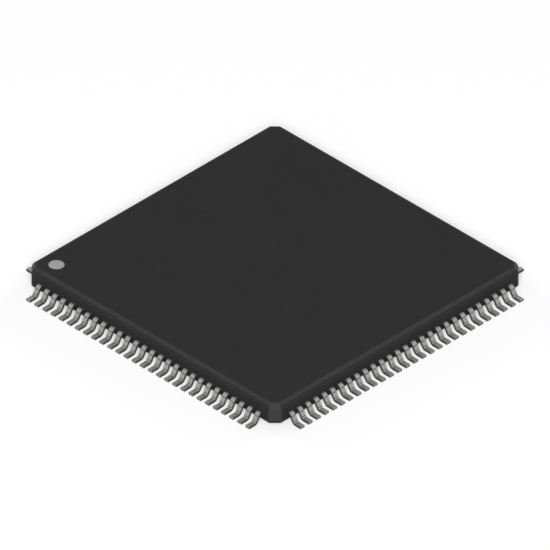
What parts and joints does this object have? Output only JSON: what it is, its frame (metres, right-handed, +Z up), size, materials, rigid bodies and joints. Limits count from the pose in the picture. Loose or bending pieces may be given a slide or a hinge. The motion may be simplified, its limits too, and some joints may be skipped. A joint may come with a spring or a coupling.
{
  "type": "microcontroller",
  "caption": "Square flat microcontroller package: moulded epoxy body with gull-wing leads all round for surface mounting, an index dot at a corner, and die, lead frame and bond wires inside.",
  "frame": {"origin": "centre of the package on the seating plane, the plane of the soles of the leads", "axes": "+Z up through the top face; the walls face +X, +Y, -X and -Y; lead 1 is the lead of the -X side nearest +Y, beside the dot, and the count runs counter-clockwise seen from above"},
  "size_m": [0.022, 0.022, 0.0015],
  "materials": {
    "epoxy": "matte dark grey moulded epoxy with a fine spark-eroded grain",
    "dot_ink": "matte light grey ink",
    "tinned_leads": "matte tin plate over copper alloy",
    "lead_frame_copper": "bare rolled copper alloy",
    "die_adhesive": "silver-filled adhesive",
    "silicon": "polished silicon",
    "gold_wire": "drawn gold wire"
  },
  "bodies": {
    "root": {"mold_body": "epoxy", "lead_1_dot": "dot_ink", "leads_west": "tinned_leads", "leads_south": "tinned_leads", "leads_east": "tinned_leads", "leads_north": "tinned_leads", "die_paddle": "lead_frame_copper", "die_attach": "die_adhesive", "silicon_die": "silicon", "wires_west": "gold_wire", "wires_south": "gold_wire", "wires_east": "gold_wire", "wires_north": "gold_wire"}
  },
  "joints": []
}
